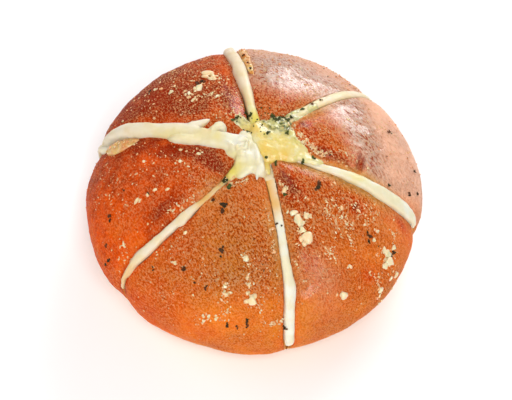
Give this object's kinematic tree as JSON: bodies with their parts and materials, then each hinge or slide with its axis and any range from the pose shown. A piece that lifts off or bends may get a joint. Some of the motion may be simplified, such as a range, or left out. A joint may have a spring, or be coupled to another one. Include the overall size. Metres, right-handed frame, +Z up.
{
  "type": "garlic cheese bun",
  "caption": "Round soft bread roll cut from the top into joined wedges, with cream cheese piped in the cuts, garlic butter in the middle and minced garlic and herbs on the crust.",
  "frame": {"origin": "middle of the flat foot that the bun stands on", "axes": "+Z up out of the bun's top, where the cuts cross; +Y towards the arm of cream that ends in a blob at the back, -Y to the viewer; +X to the viewer's right"},
  "size_m": [0.1106, 0.1094, 0.0512],
  "materials": {
    "bread": "baked crust, satin with a butter sheen, red-brown on top and golden at the foot, with fused garlic crumbs and herb flakes",
    "cream": "soft baked cream cheese, smooth satin, ivory",
    "butter": "melted garlic butter, glossy pale yellow with garlic crumbs and green flecks"
  },
  "bodies": {
    "root": {"bun": "bread", "cream_cheese": "cream", "garlic_butter": "butter"}
  },
  "joints": []
}
